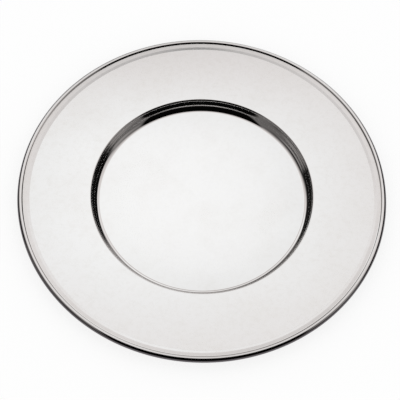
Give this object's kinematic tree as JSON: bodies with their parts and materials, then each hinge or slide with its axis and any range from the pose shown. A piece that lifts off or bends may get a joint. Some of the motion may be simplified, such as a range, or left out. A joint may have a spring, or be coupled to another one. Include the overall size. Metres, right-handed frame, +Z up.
{
  "type": "charger plate",
  "caption": "Round polished metal charger plate with a flat floor in a steep-walled well, a broad flat rim, a low verge and a wired, rolled edge.",
  "frame": {"origin": "centre of the underside of the floor, where the plate rests on the table", "axes": "+Z up along the plate's axis of symmetry; X and Y lie in the plane of the table, and -Y faces the person seated"},
  "size_m": [0.31, 0.31, 0.0119],
  "materials": {
    "polished_sheet": "polished",
    "steel_wire": "satin"
  },
  "bodies": {
    "root": {"plate_body": "polished_sheet", "edge_wire": "steel_wire"}
  },
  "joints": []
}
